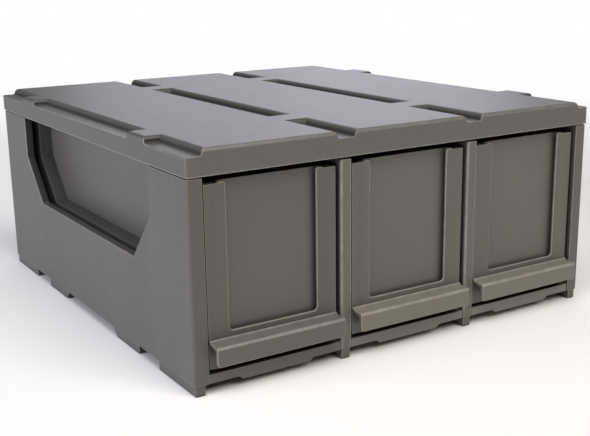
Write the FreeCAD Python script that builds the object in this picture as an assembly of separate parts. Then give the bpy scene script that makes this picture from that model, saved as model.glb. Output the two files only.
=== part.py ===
import FreeCAD, Part
import os

# Stackable three-column drawer box for trading cards, in moulded plastic.
# Millimetres, +Z up, +Y towards the back. The origin is on the floor, under the middle of the whole
# box with its handles. The case is a lid on two side walls and two dividers, with a back panel and
# one floor panel to each bay. A drawer is a tray, a front frame and a hooked pull.

# ---- Case: lid outline and heights ----
LID_WIDTH = 370.0
LID_DEPTH = 392.0
LID_CORNER = 3.0          # radius of the lid's upright corners
LID_OVERHANG = 0.7        # how far the lid stands out past the walls
FOOT_HEIGHT = 8.0
WALL_HEIGHT = 144.0       # from the top of the feet to the lid's seat
RIM_HEIGHT = 14.0         # from the lid's seat to its sunk ledges and channels
PLATEAU_STEP = 5.0        # from the ledges and channels to the raised plateaus
SKIN = 2.8                # wall of every case moulding

# ---- Lid: sunk ledges and channels that take the feet of a box stacked on top ----
LEDGE_WIDTH = 11.5
CHANNEL_WIDTH = 14.0      # at the channel's floor
PLATEAU_DRAFT = 1.5       # how far a plateau's side leans back over its height
BRIDGE_START = 63.5       # from the lid's front and back faces to the bridges at plateau height
BRIDGE_LENGTH = 30.0
PLUG_DEPTH = 6.0          # corner plugs of the lid, down into the hollow corner posts
FIT_GAP = 0.2             # between pieces that plug together

# ---- Side walls and dividers ----
POST_WIDTH = 11.3         # side wall's front and back posts
POST_DEPTH = 14.0
WALL_CORNER = 2.5         # radius of the walls' upright corners
DIVIDER_WIDTH = 9.5
DIVIDER_RAIL = 5.0        # height of the divider's top rail
FOOT_WIDTH = 8.0
FOOT_INSET = 0.7          # foot behind the wall's outer face
NOTCH_GAP = 2.75          # from a stacked foot's end to the bridge beside it
MIDDLE_FOOT = 49.0        # length of each of the two middle feet, at the wall
FOOT_SLOPE = 6.0          # run of a middle foot's slanted end
SEAM = 0.8                # rebate under the lid that draws the dark seam

# ---- Window in each side wall, and the waist of the trays behind it ----
WINDOW_END = 61.0         # from the lid's front and back faces to the window's upright ends
WINDOW_SHOULDER = 107.5   # from the wall's bottom edge to the foot of the upright ends
WINDOW_SILL = 70.0        # from the wall's bottom edge to the sill
WINDOW_SLANT = 33.5       # run of each slanted corner
WINDOW_RETURN = 6.6       # depth of the rim that turns in round the window

# ---- Floor panels ----
RAIL_HEIGHT = 6.5         # front and back rails, from the wall's bottom edge to the floor's top
RAIL_SETBACK = 1.5        # rail behind the lid's front face
FLOOR_PLATE = 2.8
PAD_WIDTH = 56.0          # lower middle stretch of each rail
PAD_DROP = 2.5
PAD_DEPTH = 14.0
STOP_WIDTH = 30.0         # rib on the floor that stops an open drawer
STOP_SETBACK = 24.0
STOP_HEIGHT = 3.0
GUIDE_WIDTH = 2.0         # ribs that keep the runners straight
GUIDE_HEIGHT = 2.2

# ---- Back panel ----
FIELD_DEPTH = 1.0         # sunk field behind each bay
FIELD_MARGIN = 12.0

# ---- Trays ----
TRAY_SKIN = 2.0
SIDE_GAP = 2.3            # tray to the bay's side
BACK_GAP = 1.0            # tray to the back panel
RUN_GAP = 0.3             # runner above the floor
RUNNER_HEIGHT = 3.5
RUNNER_WIDTH = 3.0
RUNNER_SPACING = 70.0
GUIDE_GAP = 0.7           # runner to the guide rib beside it
TOP_GAP = 6.0             # outer stretches of the frame below the lid's seat
PANEL_RISE = 1.0          # middle stretch of the tray's front wall above its rim
WAIST_DEPTH = 11.0        # how far the tray's sides step in behind the window
LUG_SETBACK = 62.0        # stop lug under the tray, from the tray's back
LUG_LENGTH = 5.0
LUG_WIDTH = 24.0
LUG_GAP = 0.8             # lug above the floor

# ---- Front frames ----
FACE_SETBACK = 3.2        # frame's face behind the lid's front face
FRAME_DEPTH = 3.5
FLANGE_WIDTH = 16.5
LIP_WIDTH = 5.5           # inner stretch of each flange, which holds a label card
LIP_SKIN = 1.5
LIP_CORNER = 2.0          # radius of each lip's top inner corner
LABEL_DROP = 4.0          # how far the label slot runs down behind the sill
SILL_HEIGHT = 28.0        # from the rail's top to the bottom of the sunk panel
SILL_CORNER = 3.0
FRAME_GAP = 2.4           # frame above the rail

# ---- Pulls ----
PULL_REACH = 9.0          # pull's face in front of the lid's front face
PULL_HEIGHT = 14.0
PULL_BOTTOM = 7.9         # from the rail's top to the pull's lower edge
PULL_SKIN = 2.8
PULL_RISE = 1.9           # fall of the pull's top from the frame to the edge
PULL_CORNER = 2.5

# ---- Places worked out from the sizes ----
LID_FRONT = -(LID_DEPTH - PULL_REACH) / 2
LID_BACK = LID_FRONT + LID_DEPTH
MID_Y = (LID_FRONT + LID_BACK) / 2
WALL_FRONT = LID_FRONT + LID_OVERHANG
WALL_BACK = LID_BACK - LID_OVERHANG
WALL_SIDE = LID_WIDTH / 2 - LID_OVERHANG
INNER_SIDE = WALL_SIDE - POST_WIDTH
PANEL_FRONT = WALL_BACK - SKIN

WALL_BASE = FOOT_HEIGHT
SEAT = WALL_BASE + WALL_HEIGHT
LEDGE_TOP = SEAT + RIM_HEIGHT
LID_TOP = LEDGE_TOP + PLATEAU_STEP
FLOOR_TOP = WALL_BASE + RAIL_HEIGHT
SHELF = RAIL_HEIGHT - FLOOR_PLATE       # thickness of the shelves that carry the floor panels

BAY_WIDTH = (2 * INNER_SIDE - 2 * DIVIDER_WIDTH) / 3
BAY_PITCH = BAY_WIDTH + DIVIDER_WIDTH
BAYS = {"left": -BAY_PITCH, "middle": 0.0, "right": BAY_PITCH}
DIVIDERS = {"left": -BAY_PITCH / 2, "right": BAY_PITCH / 2}

RAIL_FRONT = LID_FRONT + RAIL_SETBACK
STOP_FRONT = RAIL_FRONT + STOP_SETBACK
BRIDGE_END = BRIDGE_START + BRIDGE_LENGTH
TONGUE = (DIVIDER_WIDTH - SKIN) / 2 - FIT_GAP

TRAY_WIDTH = BAY_WIDTH - 2 * SIDE_GAP
LABEL_HALF = TRAY_WIDTH / 2 - FLANGE_WIDTH + LIP_WIDTH
FACE_Y = LID_FRONT + FACE_SETBACK
TRAY_FRONT = FACE_Y + FRAME_DEPTH
TRAY_BACK = PANEL_FRONT - BACK_GAP
RUNNER_BOTTOM = FLOOR_TOP + RUN_GAP
TRAY_BOTTOM = RUNNER_BOTTOM + RUNNER_HEIGHT
TRAY_TOP = SEAT - TOP_GAP
PANEL_TOP = TRAY_TOP + PANEL_RISE
PANEL_SILL = FLOOR_TOP + SILL_HEIGHT
PULL_FACE = LID_FRONT - PULL_REACH

PAST = 10.0               # how far a cutter runs past the face it opens


def box(x0, x1, y0, y1, z0, z1):
    """Box between two values along each axis."""
    return Part.makeBox(x1 - x0, y1 - y0, z1 - z0, FreeCAD.Vector(x0, y0, z0))


def round_upright(shape, radius, corners):
    """Round the upright edges of a shape that stand at the named (x, y) corners."""
    edges = []
    for edge in shape.Edges:
        low, high = edge.BoundBox, edge.BoundBox.DiagonalLength
        upright = high > 0 and abs(low.ZLength - high) < 1e-6
        if upright and any(abs(low.XMin - x) < 1e-6 and abs(low.YMin - y) < 1e-6 for x, y in corners):
            edges.append(edge)
    return shape.makeFillet(radius, edges)


def edges_along_y(shape, z, x=None, reach=None):
    """Edges of a shape that run along Y at a height, and at a reach each side of x if it is given."""
    found = []
    for edge in shape.Edges:
        span = edge.BoundBox
        level = abs(span.ZMin - z) < 1e-6 and span.ZLength < 1e-6 and span.XLength < 1e-6
        if level and (reach is None or abs(abs(span.XMin - x) - reach) < 1e-6):
            found.append(edge)
    return found


def rounded_block(x0, x1, y0, y1, z0, z1, radius):
    """Box with its four upright edges rounded."""
    corners = [(x, y) for x in (x0, x1) for y in (y0, y1)]
    return round_upright(box(x0, x1, y0, y1, z0, z1), radius, corners)


def side_prism(outline, x0, x1):
    """Prism between two x values, from an outline of (y, z) points."""
    points = [FreeCAD.Vector(x0, y, z) for y, z in outline]
    face = Part.Face(Part.makePolygon(points + points[:1]))
    return face.extrude(FreeCAD.Vector(x1 - x0, 0, 0))


def front_prism(outline, y0, y1):
    """Prism between two y values, from an outline of (x, z) points."""
    points = [FreeCAD.Vector(x, y0, z) for x, z in outline]
    face = Part.Face(Part.makePolygon(points + points[:1]))
    return face.extrude(FreeCAD.Vector(0, y1 - y0, 0))


def join(shapes):
    """One solid from shapes that meet, with the seams between coplanar faces taken out."""
    return shapes[0].multiFuse(shapes[1:]).removeSplitter()


def mirror_x(shape):
    """Copy on the other side of the box's middle."""
    return shape.mirror(FreeCAD.Vector(0, 0, 0), FreeCAD.Vector(1, 0, 0))


def mirror_y(shape):
    """Copy at the other end of the case."""
    return shape.mirror(FreeCAD.Vector(0, MID_Y, 0), FreeCAD.Vector(0, 1, 0))


def save(name, shape):
    """Write one node."""
    shape.exportStep(f"parts/{name}.step")


def drafted_slot(x0, x1, y0, y1, lean_x0, lean_x1, lean_y0, lean_y1):
    """Cutter for the raised layer of the lid: the sizes are at its floor, and each side that leans
    opens outwards as it rises."""
    rise = PLATEAU_STEP + PAST
    lean = PLATEAU_DRAFT * rise / PLATEAU_STEP
    high_x0, high_x1 = x0 - lean * lean_x0, x1 + lean * lean_x1
    high_y0, high_y1 = y0 - lean * lean_y0, y1 + lean * lean_y1
    # A wedge narrows along its own Y, so it is made lying down and then stood up.
    wedge = Part.makeWedge(
        x0, LEDGE_TOP, -y1, -high_y1, high_x0, x1, LEDGE_TOP + rise, -y0, -high_y0, high_x1
    )
    wedge.rotate(FreeCAD.Vector(0, 0, 0), FreeCAD.Vector(1, 0, 0), 90)
    return wedge


def slot_run(x0, x1, lean_x0, lean_x1):
    """The three slots of a channel or ledge: open at both ends of the lid, with two bridges."""
    end = drafted_slot(x0, x1, LID_FRONT - PAST, LID_FRONT + BRIDGE_START, lean_x0, lean_x1, False, True)
    middle = drafted_slot(
        x0, x1, LID_FRONT + BRIDGE_END, LID_BACK - BRIDGE_END, lean_x0, lean_x1, True, True
    )
    return [end, middle, mirror_y(end)]


def make_lid():
    """Lid: a rimmed plate with three plateaus, hollow below, with a rib over each divider and a plug
    in each corner post."""
    half = LID_WIDTH / 2
    lid = rounded_block(-half, half, LID_FRONT, LID_BACK, SEAT, LID_TOP, LID_CORNER)
    slots = slot_run(-half - PAST, -half + LEDGE_WIDTH, False, True)
    slots += [mirror_x(slot) for slot in slots]
    for x in DIVIDERS.values():
        slots += slot_run(x - CHANNEL_WIDTH / 2, x + CHANNEL_WIDTH / 2, True, True)
    lid = lid.cut(slots)

    plate = LEDGE_TOP - SKIN
    hollows = []
    for x in BAYS.values():
        left = x - BAY_PITCH / 2 + SKIN / 2
        right = x + BAY_PITCH / 2 - SKIN / 2
        left = -half + SKIN if x == BAYS["left"] else left
        right = half - SKIN if x == BAYS["right"] else right
        hollows.append(box(left, right, LID_FRONT + SKIN, LID_BACK - SKIN, SEAT - PAST, plate))
    lid = lid.cut(hollows)

    wall = SKIN + PLATEAU_DRAFT
    crowns = []
    for x in BAYS.values():
        reach = (BAY_PITCH - CHANNEL_WIDTH) / 2 - wall
        left = -half + LEDGE_WIDTH + wall if x == BAYS["left"] else x - reach
        right = half - LEDGE_WIDTH - wall if x == BAYS["right"] else x + reach
        crowns.append(box(left, right, LID_FRONT + SKIN, LID_BACK - SKIN, plate - SKIN, LID_TOP - SKIN))
    lid = lid.cut(crowns)

    plug_x0 = -WALL_SIDE + SKIN + FIT_GAP
    plug_x1 = -INNER_SIDE - SKIN - FIT_GAP
    plug_y0 = WALL_FRONT + SKIN + FIT_GAP
    plug_y1 = WALL_FRONT + POST_DEPTH - FIT_GAP
    plug = box(plug_x0, plug_x1, plug_y0, plug_y1, SEAT - PLUG_DEPTH, plate)
    plugs = [plug, mirror_y(plug)]
    plugs += [mirror_x(each) for each in plugs]
    return join([lid] + plugs)


def make_feet(x0, x1, front, back):
    """The four feet of a wall: an end foot and a middle foot at each end, with a notch between them
    over the lid's bridge. A middle foot's inner end is slanted."""
    notch_start = LID_FRONT + BRIDGE_START - NOTCH_GAP
    notch_end = LID_FRONT + BRIDGE_END + NOTCH_GAP
    end_front = box(x0, x1, front, notch_start, 0, WALL_BASE)
    end_back = box(x0, x1, 2 * MID_Y - notch_start, back, 0, WALL_BASE)
    outline = [
        (notch_end, 0),
        (notch_end + MIDDLE_FOOT - FOOT_SLOPE, 0),
        (notch_end + MIDDLE_FOOT, WALL_BASE),
        (notch_end, WALL_BASE),
    ]
    middle = side_prism(outline, x0, x1)
    return [end_front, end_back, middle, mirror_y(middle)]


def window_outline(grow):
    """Window outline in (y, z), grown all round by a wall's thickness and open past the seat."""
    front = LID_FRONT + WINDOW_END
    shoulder = WALL_BASE + WINDOW_SHOULDER
    sill = WALL_BASE + WINDOW_SILL
    top = SEAT + PAST
    half = [
        FreeCAD.Vector(0, front, top),
        FreeCAD.Vector(0, front, shoulder),
        FreeCAD.Vector(0, front + WINDOW_SLANT, sill),
    ]
    other = [FreeCAD.Vector(0, 2 * MID_Y - p.y, p.z) for p in reversed(half)]
    wire = Part.makePolygon(half + other + half[:1])
    if grow:
        wire = wire.makeOffset2D(grow, 2)
    return [(p.Point.y, p.Point.z) for p in wire.OrderedVertexes]


def make_side_wall():
    """Left side wall: a skin with hollow posts, a shelf for the floor panel, a turned-in window rim
    and four feet. It is open at the window up to the lid."""
    outer, inner = -WALL_SIDE, -INNER_SIDE
    skin = box(outer, outer + SKIN, WALL_FRONT, WALL_BACK, WALL_BASE, SEAT)
    post_face = box(outer, inner, WALL_FRONT, WALL_FRONT + SKIN, WALL_BASE, SEAT)
    post_side = box(inner - SKIN, inner, WALL_FRONT, WALL_FRONT + POST_DEPTH, WALL_BASE, SEAT)
    shelf = box(outer, inner, WALL_FRONT, WALL_BACK, WALL_BASE, WALL_BASE + SHELF)
    rim = side_prism(window_outline(SKIN), outer, outer + WINDOW_RETURN)
    rim = rim.common(box(outer, inner, WALL_FRONT, WALL_BACK, WALL_BASE, SEAT))
    wall = join([skin, post_face, post_side, mirror_y(post_face), mirror_y(post_side), shelf, rim])
    wall = round_upright(wall, WALL_CORNER, [(outer, WALL_FRONT), (outer, WALL_BACK)])

    window = side_prism(window_outline(0), outer - PAST, inner)
    seam_side = box(outer - PAST, outer + SEAM, WALL_FRONT, WALL_BACK, SEAT - SEAM, SEAT + PAST)
    seam_end = box(outer, inner, WALL_FRONT - PAST, WALL_FRONT + SEAM, SEAT - SEAM, SEAT + PAST)
    wall = wall.cut([window, seam_side, seam_end, mirror_y(seam_end)])
    foot = outer + FOOT_INSET
    feet = make_feet(foot, foot + FOOT_WIDTH, WALL_FRONT + FOOT_INSET, WALL_BACK - FOOT_INSET)
    return join([wall] + feet)


def make_divider(x):
    """Divider: a web with a post at each end, a top rail, a shelf for the floor panels and feet."""
    half = DIVIDER_WIDTH / 2
    web = box(x - SKIN / 2, x + SKIN / 2, WALL_FRONT, PANEL_FRONT, WALL_BASE, SEAT)
    front_post = box(x - half, x + half, WALL_FRONT, WALL_FRONT + POST_DEPTH, WALL_BASE, SEAT)
    back_post = box(x - half, x + half, PANEL_FRONT - POST_DEPTH, PANEL_FRONT, WALL_BASE, SEAT)
    rail = box(x - half, x + half, WALL_FRONT, PANEL_FRONT, SEAT - DIVIDER_RAIL, SEAT)
    shelf = box(x - half, x + half, WALL_FRONT, PANEL_FRONT, WALL_BASE, WALL_BASE + SHELF)
    foot_half = FOOT_WIDTH / 2
    feet = make_feet(x - foot_half, x + foot_half, WALL_FRONT + FOOT_INSET, PANEL_FRONT)
    seam = box(x - half, x + half, WALL_FRONT - PAST, WALL_FRONT + SEAM, SEAT - SEAM, SEAT + PAST)
    return join([web, front_post, back_post, rail, shelf] + feet).cut(seam)


def make_back_panel():
    """Back panel between the side walls, with a sunk field behind each bay."""
    side = INNER_SIDE - FIT_GAP
    panel = box(-side, side, PANEL_FRONT, WALL_BACK, WALL_BASE, SEAT)
    fields = [box(-side, side, WALL_BACK - SEAM, WALL_BACK + PAST, SEAT - SEAM, SEAT + PAST)]
    reach = BAY_WIDTH / 2 - FIELD_MARGIN
    low, high = WALL_BASE + FIELD_MARGIN, SEAT - FIELD_MARGIN
    for x in BAYS.values():
        fields.append(box(x - reach, x + reach, WALL_BACK - FIELD_DEPTH, WALL_BACK + PAST, low, high))
    return panel.cut(fields)


def make_floor(x):
    """Floor panel of one bay: a plate with tongues on the shelves beside it, a rail with a lower pad
    at each end, guide ribs for the runners and a rib that stops the drawer."""
    half = BAY_WIDTH / 2 - FIT_GAP
    back = PANEL_FRONT - FIT_GAP
    rail_back = 2 * MID_Y - RAIL_FRONT - SKIN
    plate = box(x - half, x + half, RAIL_FRONT, back, FLOOR_TOP - FLOOR_PLATE, FLOOR_TOP)
    tongue_front = WALL_FRONT + POST_DEPTH + FIT_GAP
    tongue_back = PANEL_FRONT - POST_DEPTH - FIT_GAP
    tongues = box(
        x - half - TONGUE, x + half + TONGUE, tongue_front, tongue_back, FLOOR_TOP - FLOOR_PLATE, FLOOR_TOP
    )
    rail = box(x - half, x + half, RAIL_FRONT, RAIL_FRONT + SKIN, WALL_BASE, FLOOR_TOP)
    back_rail = box(x - half, x + half, back - SKIN, back, WALL_BASE, FLOOR_TOP)
    pad_half = PAD_WIDTH / 2
    pad_outline = [
        (x - pad_half - PAD_DROP, WALL_BASE),
        (x - pad_half, WALL_BASE - PAD_DROP),
        (x + pad_half, WALL_BASE - PAD_DROP),
        (x + pad_half + PAD_DROP, WALL_BASE),
        (x + pad_half + PAD_DROP, FLOOR_TOP - FLOOR_PLATE),
        (x - pad_half - PAD_DROP, FLOOR_TOP - FLOOR_PLATE),
    ]
    pad = front_prism(pad_outline, RAIL_FRONT, RAIL_FRONT + PAD_DEPTH)
    back_pad = front_prism(pad_outline, back - PAD_DEPTH, back)
    stop_half = STOP_WIDTH / 2
    stop = box(
        x - stop_half, x + stop_half, STOP_FRONT, STOP_FRONT + SKIN, FLOOR_TOP - FLOOR_PLATE,
        FLOOR_TOP + STOP_HEIGHT,
    )
    guides = []
    for side in (-1, 1):
        centre = x + side * (RUNNER_SPACING / 2 + RUNNER_WIDTH / 2 + GUIDE_GAP + GUIDE_WIDTH / 2)
        left, right = centre - GUIDE_WIDTH / 2, centre + GUIDE_WIDTH / 2
        guides.append(
            box(left, right, STOP_FRONT, tongue_back, FLOOR_TOP - FLOOR_PLATE, FLOOR_TOP + GUIDE_HEIGHT)
        )
    return join([plate, tongues, rail, back_rail, pad, back_pad, stop] + guides)


def make_tray(x):
    """Tray: an open box with a waist on both sides behind the window, two runners and a stop lug.
    Its front wall stands a little taller between the frame's outer stretches."""
    half = TRAY_WIDTH / 2
    outer = box(x - half, x + half, TRAY_FRONT, TRAY_BACK, TRAY_BOTTOM, TRAY_TOP)
    panel_back = TRAY_FRONT + TRAY_SKIN
    panel = box(x - LABEL_HALF, x + LABEL_HALF, TRAY_FRONT, panel_back, TRAY_BOTTOM, PANEL_TOP)
    waists = [
        side_prism(window_outline(0), x - half - PAST, x - half + WAIST_DEPTH),
        side_prism(window_outline(0), x + half - WAIST_DEPTH, x + half + PAST),
    ]
    body = outer.cut(waists)

    hollow = box(
        x - half + TRAY_SKIN, x + half - TRAY_SKIN, TRAY_FRONT + TRAY_SKIN, TRAY_BACK - TRAY_SKIN,
        TRAY_BOTTOM + TRAY_SKIN, PANEL_TOP + PAST,
    )
    inner_waist = WAIST_DEPTH + TRAY_SKIN
    hollow = hollow.cut([
        side_prism(window_outline(TRAY_SKIN), x - half - PAST, x - half + inner_waist),
        side_prism(window_outline(TRAY_SKIN), x + half - inner_waist, x + half + PAST),
    ])
    body = join([body, panel]).cut(hollow)

    extras = []
    for side in (-1, 1):
        centre = x + side * RUNNER_SPACING / 2
        left, right = centre - RUNNER_WIDTH / 2, centre + RUNNER_WIDTH / 2
        extras.append(box(left, right, TRAY_FRONT, TRAY_BACK, RUNNER_BOTTOM, TRAY_BOTTOM))
    lug_back = TRAY_BACK - LUG_SETBACK
    lug_half = LUG_WIDTH / 2
    extras.append(
        box(x - lug_half, x + lug_half, lug_back - LUG_LENGTH, lug_back, FLOOR_TOP + LUG_GAP, TRAY_BOTTOM)
    )
    return join([body] + extras)


def make_front_frame(x):
    """Front frame on the tray's front wall: two flanges that stand forward of the panel, joined by a
    deep sill. The inner lips of the flanges and the sill stand clear of the panel, which leaves a
    slot for a label card that drops in from the top."""
    half = TRAY_WIDTH / 2
    inner = half - FLANGE_WIDTH
    bottom = FLOOR_TOP + FRAME_GAP
    frame = box(x - half, x + half, FACE_Y, TRAY_FRONT, bottom, TRAY_TOP)
    lips = box(x - LABEL_HALF, x + LABEL_HALF, FACE_Y, TRAY_FRONT, bottom, PANEL_TOP)
    mouth = box(x - inner, x + inner, FACE_Y - PAST, TRAY_FRONT + PAST, PANEL_SILL, PANEL_TOP + PAST)
    mouth = mouth.makeFillet(SILL_CORNER, edges_along_y(mouth, PANEL_SILL))
    frame = join([frame, lips]).cut(mouth)
    frame = frame.makeFillet(LIP_CORNER, edges_along_y(frame, PANEL_TOP, x, inner))
    label = box(
        x - LABEL_HALF, x + LABEL_HALF, FACE_Y + LIP_SKIN, TRAY_FRONT + PAST, PANEL_SILL - LABEL_DROP,
        PANEL_TOP + PAST,
    )
    return frame.cut(label)


def make_pull(x):
    """Hooked pull across the frame: a top that falls to its front edge and a face that hangs from it,
    open below and at both ends for the fingers."""
    half = TRAY_WIDTH / 2
    low = FLOOR_TOP + PULL_BOTTOM
    edge = low + PULL_HEIGHT
    outline = [
        (PULL_FACE, low),
        (PULL_FACE, edge),
        (FACE_Y, edge + PULL_RISE),
        (FACE_Y, edge + PULL_RISE - PULL_SKIN),
        (PULL_FACE + PULL_SKIN, edge - PULL_SKIN),
        (PULL_FACE + PULL_SKIN, low),
    ]
    pull = side_prism(outline, x - half, x + half)
    return pull.makeFillet(PULL_CORNER, edges_along_y(pull, low))


save("lid", make_lid())
left_wall = make_side_wall()
save("left_side_wall", left_wall)
save("right_side_wall", mirror_x(left_wall))
save("back_panel", make_back_panel())
for name, place in DIVIDERS.items():
    save(f"{name}_divider", make_divider(place))
for name, place in BAYS.items():
    save(f"{name}_floor", make_floor(place))
    save(f"{name}_tray", make_tray(place))
    save(f"{name}_front_frame", make_front_frame(place))
    save(f"{name}_pull", make_pull(place))
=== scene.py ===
import logging
import math
from contextlib import contextmanager
from dataclasses import dataclass, field
from enum import Enum
from typing import Any, Callable, Iterator, Sequence

import bmesh
import bpy
from mathutils import Matrix, Vector


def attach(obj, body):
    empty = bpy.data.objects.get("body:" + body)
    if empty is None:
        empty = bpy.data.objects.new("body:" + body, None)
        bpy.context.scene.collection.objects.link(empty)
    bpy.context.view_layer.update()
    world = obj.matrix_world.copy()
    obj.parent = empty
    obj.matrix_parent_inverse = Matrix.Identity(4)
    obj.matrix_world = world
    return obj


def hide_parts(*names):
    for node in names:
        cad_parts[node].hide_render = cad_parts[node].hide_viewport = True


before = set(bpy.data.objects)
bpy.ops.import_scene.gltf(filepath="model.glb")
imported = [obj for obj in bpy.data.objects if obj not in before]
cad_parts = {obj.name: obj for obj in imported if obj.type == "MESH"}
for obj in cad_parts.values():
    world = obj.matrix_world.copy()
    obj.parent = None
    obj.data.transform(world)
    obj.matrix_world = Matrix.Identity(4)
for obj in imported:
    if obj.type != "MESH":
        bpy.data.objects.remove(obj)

# Trading card drawer box, dressed for looking at. Each moulding of the case and of the three drawers
# is modelled with its rounded edges and finished as injection-moulded ABS. Sizes in the classes are
# millimetres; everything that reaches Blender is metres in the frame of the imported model.

LOG = logging.getLogger("trading_card_drawer_box")
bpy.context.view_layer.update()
MM = 0.001
PAST = 10.0                # how far a cutter runs past the face that it opens
OVER = 1.0                 # how far a shape overlaps one that it joins or trims
NEAR = 0.01                # places nearer than this are one place
SLACK = 0.1                # room that a test leaves round the faces that it looks for
MERGE = 1e-6               # metres between points that are one point
FLAT = math.radians(0.3)   # faces nearer than this to one plane are one face
SHARP = math.radians(32)   # edges that turn more than this are real edges
FACING = 0.99              # a normal with this much along an axis belongs to a flat face across it
STEEP = 0.75               # a normal with less than this along an axis belongs to a steep side of it
MARK = "edge_rub"          # face attribute of painted highlights, sheen and shade, with these values
EDGE_HIGHLIGHT, FACE_SHEEN, INNER_SHADE = 1.0, 0.45, -0.5

Piece = bpy.types.Object
Edge = bmesh.types.BMEdge
Face = bmesh.types.BMFace
Node = bpy.types.Node
NodeTree = bpy.types.NodeTree
Socket = bpy.types.NodeSocket
Point = tuple[float, float, float]
Outline = list[tuple[float, float]]
EdgeTest = Callable[[Edge], bool]
FaceTest = Callable[[Face], bool]
FaceShare = Callable[[Face], float]


class Slot(Enum):
    """The record's material slots."""

    CASE = "case_plastic"
    LID = "lid_plastic"
    DRAWER = "drawer_plastic"


class Axis(Enum):
    """Directions that a prism can run in."""

    X = 0
    Y = 1
    Z = 2


class Bay(Enum):
    """The three columns of drawers, and how many columns each stands from the middle."""

    LEFT = -1
    MIDDLE = 0
    RIGHT = 1

    @property
    def word(self) -> str:
        """Name of the column in node and body names."""
        return self.name.lower()


@dataclass(frozen=True)
class BoxSizes:
    """Sizes that several mouldings share, in millimetres."""

    lid_width: float = 370.0
    lid_depth: float = 392.0
    pull_reach: float = 9.0
    overhang: float = 0.7
    foot_height: float = 8.0
    seat: float = 152.0
    ledge_top: float = 166.0
    lid_top: float = 171.0
    floor_top: float = 14.5
    skin: float = 2.8
    post_width: float = 11.3
    post_depth: float = 14.0
    divider_width: float = 9.5
    shelf: float = 3.7
    seam: float = 0.8
    seam_depth: float = 1.5
    side_gap: float = 2.3
    stray: float = 0.6         # how far the drawers stand to the left in their columns
    face_setback: float = 3.2
    frame_depth: float = 3.5
    tray_top: float = 146.0
    panel_top: float = 147.0
    bridge_start: float = 63.5
    bridge_end: float = 93.5
    window_end: float = 61.0
    window_shoulder: float = 115.5
    window_sill: float = 78.0
    window_slant: float = 33.5
    label_inset: float = 11.0

    @property
    def front(self) -> float:
        """Y of the lid's front face."""
        return -(self.lid_depth - self.pull_reach) / 2

    @property
    def back(self) -> float:
        """Y of the lid's back face."""
        return self.front + self.lid_depth

    @property
    def middle(self) -> float:
        """Y halfway between the lid's front and back faces."""
        return (self.front + self.back) / 2

    @property
    def wall_front(self) -> float:
        """Y of the front of the walls and dividers."""
        return self.front + self.overhang

    @property
    def wall_back(self) -> float:
        """Y of the back of the walls."""
        return self.back - self.overhang

    @property
    def panel_front(self) -> float:
        """Y of the back panel's inner face."""
        return self.wall_back - self.skin

    @property
    def wall_side(self) -> float:
        """X of the side walls' outer faces, from the middle."""
        return self.lid_width / 2 - self.overhang

    @property
    def inner_side(self) -> float:
        """X of the posts' inner faces, from the middle."""
        return self.wall_side - self.post_width

    @property
    def bay_width(self) -> float:
        """Clear width of one column."""
        return (2 * self.inner_side - 2 * self.divider_width) / 3

    @property
    def pitch(self) -> float:
        """Distance from one column's middle to the next."""
        return self.bay_width + self.divider_width

    @property
    def columns(self) -> dict[Bay, float]:
        """X of the middle of each column."""
        return {bay: bay.value * self.pitch for bay in Bay}

    @property
    def drawers(self) -> dict[Bay, float]:
        """X of the middle of each column's drawer."""
        return {bay: x - self.stray for bay, x in self.columns.items()}

    @property
    def dividers(self) -> dict[Bay, float]:
        """X of the middle of the divider beside each outer column."""
        return {bay: bay.value * self.pitch / 2 for bay in (Bay.LEFT, Bay.RIGHT)}

    @property
    def tray_width(self) -> float:
        """Width of a tray, its frame and its pull."""
        return self.bay_width - 2 * self.side_gap

    @property
    def label_half(self) -> float:
        """Half the width of the label slots, and of the raised middle of the trays' front walls."""
        return self.tray_width / 2 - self.label_inset

    @property
    def face(self) -> float:
        """Y of the front frames' faces."""
        return self.front + self.face_setback

    @property
    def tray_front(self) -> float:
        """Y of the trays' front faces."""
        return self.face + self.frame_depth

    def at_back(self, y: float) -> float:
        """Y at the other end of the case that matches y."""
        return 2 * self.middle - y

    def both_ends(self, y0: float, y1: float) -> Outline:
        """A stretch in y at the front and its match at the back."""
        return [(y0, y1), (self.at_back(y1), self.at_back(y0))]

    def in_window(self, place: Vector) -> bool:
        """Whether a place is in the window or on its edge, seen from the side."""
        front = self.front + self.window_end - SLACK
        return front < place.y < self.at_back(front) and self.window_sill - SLACK < place.z < self.seat - OVER

    def window(self, grow: float) -> Outline:
        """Outline of the window in a side wall and of the waist in a tray, open above the seat.

        Args:
            grow: Millimetres that the outline is moved outwards all round.

        Returns:
            (y, z) points, in order.
        """
        front, top = self.front + self.window_end, self.seat + PAST
        points = [
            (front, top),
            (front, self.window_shoulder),
            (front + self.window_slant, self.window_sill),
            (self.at_back(front + self.window_slant), self.window_sill),
            (self.at_back(front), self.window_shoulder),
            (self.at_back(front), top),
        ]
        return grown(points, grow)


def grown(points: Outline, grow: float) -> Outline:
    """Outline moved outwards by the same distance all round, with mitred corners.

    Args:
        points: Outline, anticlockwise or clockwise.
        grow: Distance to move it by.

    Returns:
        The moved outline, point for point.
    """
    area = sum(a[0] * b[1] - b[0] * a[1] for a, b in zip(points, points[1:] + points[:1]))
    turn = 1.0 if area > 0 else -1.0
    moved = []
    for i, (x, y) in enumerate(points):
        before, after = Vector(points[i - 1]), Vector(points[(i + 1) % len(points)])
        here = Vector((x, y))
        into, out = (here - before).normalized(), (after - here).normalized()
        normals = [Vector((v.y, -v.x)) * turn for v in (into, out)]
        shift = (normals[0] + normals[1]) * (grow / (1 + normals[0].dot(normals[1])))
        moved.append((x + shift.x, y + shift.y))
    return moved


# ---- Modelling: primitives shaped in edit mode and finished with applied modifiers ----


def take(*pieces: Piece) -> None:
    """Select pieces and nothing else.

    Args:
        pieces: Pieces to select. The first becomes the active one.
    """
    bpy.ops.object.select_all(action="DESELECT")
    for piece in pieces:
        piece.select_set(True)
    bpy.context.view_layer.objects.active = pieces[0]


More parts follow.
